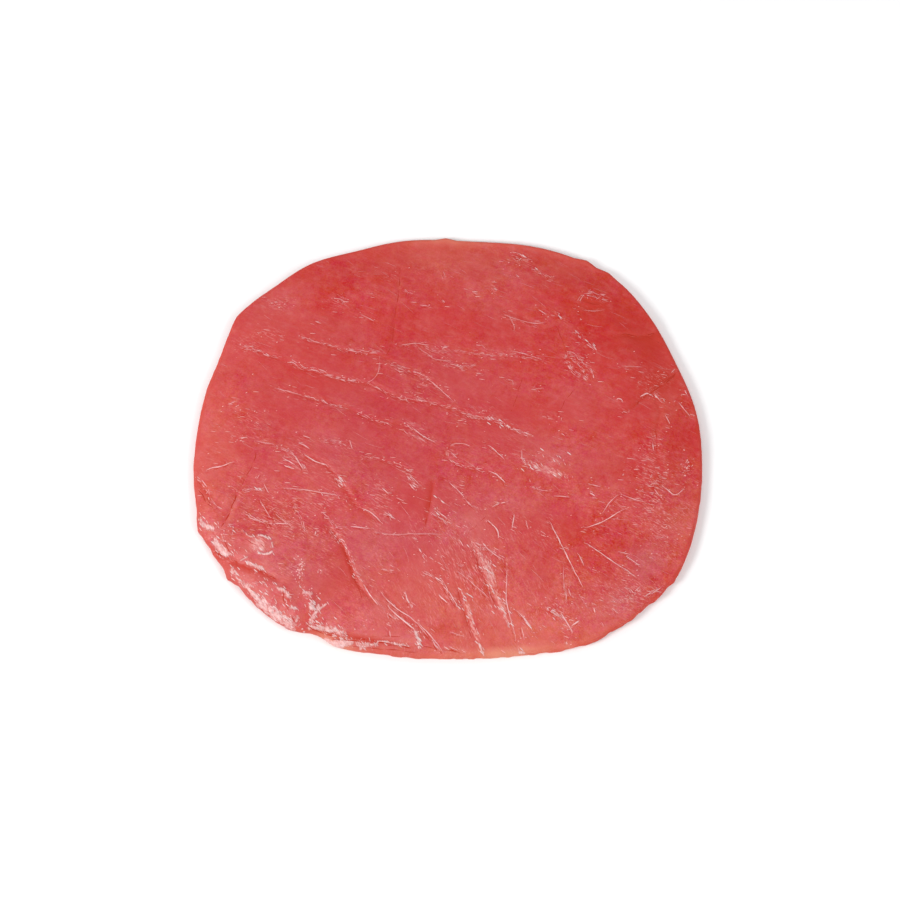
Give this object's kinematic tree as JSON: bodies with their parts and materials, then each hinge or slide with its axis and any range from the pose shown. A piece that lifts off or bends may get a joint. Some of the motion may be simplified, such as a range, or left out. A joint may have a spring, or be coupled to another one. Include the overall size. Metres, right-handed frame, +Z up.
{
  "type": "raw veal cutlet",
  "caption": "Thin uncoated slice of raw pale red meat lying flat, with a soft rolled rim, blunt trimmed corners and creased upper face.",
  "frame": {"origin": "centre of the slice's bounding box, on the flat underside", "axes": "+X to the right along the slice's length, +Y away from the viewer across its breadth, +Z up through its thickness"},
  "size_m": [0.1498, 0.1308, 0.0073],
  "materials": {
    "raw_veal": "wet raw meat, pale coral red with fine pale strands of connective tissue and a glossy film of juice"
  },
  "bodies": {
    "root": {"veal_cutlet": "raw_veal"}
  },
  "joints": []
}
